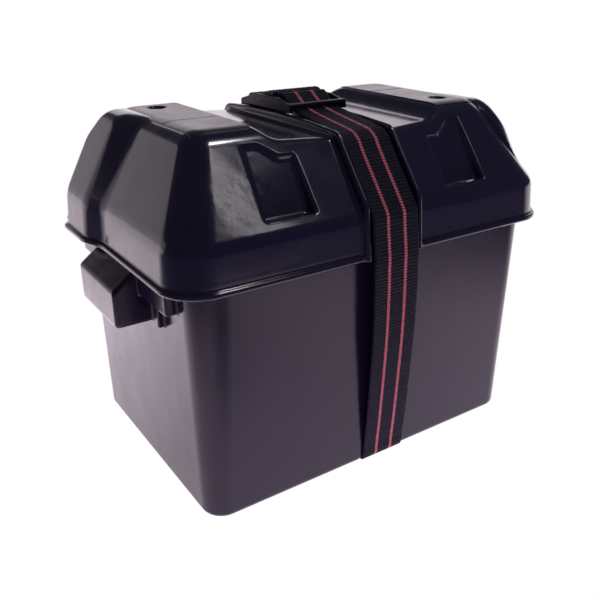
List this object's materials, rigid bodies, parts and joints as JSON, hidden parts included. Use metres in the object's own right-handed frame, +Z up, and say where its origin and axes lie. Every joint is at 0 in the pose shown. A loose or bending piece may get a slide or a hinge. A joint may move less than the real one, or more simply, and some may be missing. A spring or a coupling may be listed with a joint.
{
  "type": "deep cycle battery in a strapped box",
  "caption": "Deep cycle battery in a glossy black moulded carry box, held shut by a striped webbing strap with a cam buckle on the lid.",
  "frame": {"origin": "middle of the box's footprint, on the surface it stands on", "axes": "+Z up, X along the box's long side, -Y the long face seen at the right, -X the end seen at the left"},
  "size_m": [0.336, 0.226, 0.262],
  "materials": {
    "tub_plastic": "glossy black injection-moulded polypropylene with a faint purple cast",
    "lid_plastic": "very glossy black moulded polypropylene",
    "webbing": "black ribbed polypropylene webbing with two red stripes",
    "buckle_plastic": "satin black acetal",
    "pin_steel": "dark plain steel pin",
    "case_plastic": "satin charcoal polypropylene",
    "cover_plastic": "satin charcoal polypropylene",
    "vent_plastic": "satin yellow polypropylene",
    "positive_paste": "dull brown lead dioxide paste on cast lead",
    "negative_paste": "dull grey sponge lead",
    "separator_sheet": "thin off-white microporous sheet",
    "lead": "dull cast lead with a thin oxide",
    "stud_steel": "plain rolled steel",
    "nut_steel": "zinc plated steel"
  },
  "bodies": {
    "root": {"tub": "tub_plastic", "strap_under": "webbing", "battery_case": "case_plastic", "battery_cover": "cover_plastic", "positive_plates_1": "positive_paste", "negative_plates_1": "negative_paste", "positive_plates_2": "positive_paste", "negative_plates_2": "negative_paste", "positive_plates_3": "positive_paste", "negative_plates_3": "negative_paste", "positive_plates_4": "positive_paste", "negative_plates_4": "negative_paste", "positive_plates_5": "positive_paste", "negative_plates_5": "negative_paste", "positive_plates_6": "positive_paste", "negative_plates_6": "negative_paste", "separators_1": "separator_sheet", "separators_2": "separator_sheet", "separators_3": "separator_sheet", "separators_4": "separator_sheet", "separators_5": "separator_sheet", "separators_6": "separator_sheet", "cell_link_1": "lead", "cell_link_2": "lead", "cell_link_3": "lead", "cell_link_4": "lead", "cell_link_5": "lead", "terminal_positive": "lead", "terminal_negative": "lead", "stud_positive": "stud_steel", "stud_negative": "stud_steel"},
    "lid": {"lid": "lid_plastic"},
    "strap_front": {"strap_front": "webbing"},
    "strap_back": {"strap_back": "webbing", "strap_in_buckle": "webbing", "buckle_frame": "buckle_plastic", "buckle_pin": "pin_steel"},
    "buckle_lever": {"buckle_lever": "buckle_plastic"},
    "wing_nut_positive": {"wing_nut_positive": "nut_steel"},
    "wing_nut_negative": {"wing_nut_negative": "nut_steel"},
    "vent_plugs_left": {"vent_plugs_left": "vent_plastic"},
    "vent_plugs_right": {"vent_plugs_right": "vent_plastic"}
  },
  "joints": [
    {"name": "lid_lift", "type": "slide", "parent": "root", "child": "lid", "axis": [0, 0, 1], "range_m": [0, 0.09]},
    {"name": "strap_front_fold", "type": "hinge", "parent": "root", "child": "strap_front", "pos_m": [0, -0.113, 0.16], "axis": [1, 0, 0], "range_deg": [0, 180]},
    {"name": "strap_back_fold", "type": "hinge", "parent": "root", "child": "strap_back", "pos_m": [0, 0.113, 0.16], "axis": [-1, 0, 0], "range_deg": [0, 180]},
    {"name": "buckle_lever_flip", "type": "hinge", "parent": "strap_back", "child": "buckle_lever", "pos_m": [0, 0.024, 0.2546], "axis": [-1, 0, 0], "range_deg": [0, 85]},
    {"name": "wing_nut_positive_turn", "type": "hinge", "parent": "root", "child": "wing_nut_positive", "pos_m": [-0.10583, -0.028, 0.212], "axis": [0, 0, 1], "continuous": true},
    {"name": "wing_nut_negative_turn", "type": "hinge", "parent": "root", "child": "wing_nut_negative", "pos_m": [0.10583, -0.028, 0.212], "axis": [0, 0, 1], "continuous": true},
    {"name": "vent_plugs_left_lift", "type": "slide", "parent": "root", "child": "vent_plugs_left", "axis": [0, 0, 1], "range_m": [0, 0.016]},
    {"name": "vent_plugs_right_lift", "type": "slide", "parent": "root", "child": "vent_plugs_right", "axis": [0, 0, 1], "range_m": [0, 0.016]}
  ],
  "couplings": [
    {"joint": "strap_front_fold", "follows": "lid_lift", "rad_per_m": 34.889},
    {"joint": "strap_back_fold", "follows": "lid_lift", "rad_per_m": 34.889}
  ]
}
